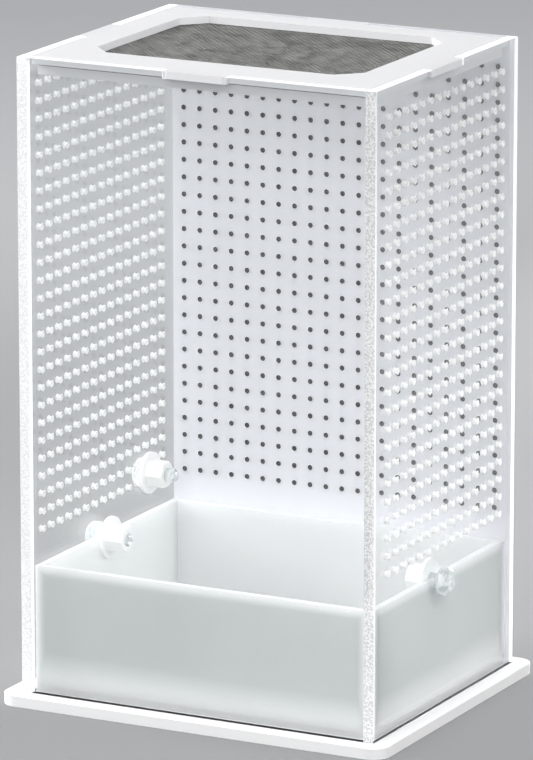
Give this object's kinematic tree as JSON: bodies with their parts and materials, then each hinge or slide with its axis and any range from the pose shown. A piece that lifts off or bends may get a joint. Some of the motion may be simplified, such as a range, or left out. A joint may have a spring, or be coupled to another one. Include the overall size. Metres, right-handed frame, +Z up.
{
  "type": "queen cage",
  "caption": "Clear acrylic display cage with perforated sides and white perforated back, a fixed white tray at the bottom and a lift-off mesh lid.",
  "frame": {"origin": "centre of the base plate's underside, on the surface that the cage stands on", "axes": "+Z up, the plain clear front panel faces -Y, +X to the right seen from the front"},
  "size_m": [0.118, 0.098, 0.1813],
  "materials": {
    "clear_acrylic": "gloss, laser-cut holes and edges frosted",
    "white_acrylic_sheet": "gloss opal sheet",
    "white_acrylic_tray": "gloss",
    "white_acrylic_lid": "satin gloss, flame-bright cut edges",
    "stainless_mesh": "plain woven wire",
    "white_nylon": "moulded",
    "clear_polycarbonate": "moulded, clear"
  },
  "bodies": {
    "cage": {"base_plate": "white_acrylic_sheet", "left_panel": "clear_acrylic", "right_panel": "clear_acrylic", "front_panel": "clear_acrylic", "back_panel": "white_acrylic_sheet", "tray_floor": "white_acrylic_tray", "tray_front_wall": "white_acrylic_tray", "tray_back_wall": "white_acrylic_tray", "tray_left_wall": "white_acrylic_tray", "tray_right_wall": "white_acrylic_tray", "left_tray_screw": "clear_polycarbonate", "right_tray_screw": "clear_polycarbonate", "left_rear_screw": "clear_polycarbonate", "left_tray_washer": "white_nylon", "right_tray_washer": "white_nylon", "left_rear_washer": "white_nylon", "left_tray_nut": "white_nylon", "right_tray_nut": "white_nylon", "left_rear_nut": "white_nylon"},
    "lid": {"lid_plate": "white_acrylic_lid", "lid_frame": "white_acrylic_lid", "mesh_warp_wires": "stainless_mesh", "mesh_weft_wires": "stainless_mesh"}
  },
  "joints": [
    {"name": "lid_lift", "type": "slide", "parent": "cage", "child": "lid", "axis": [0, 0, 1], "range_m": [0, 0.12]}
  ]
}
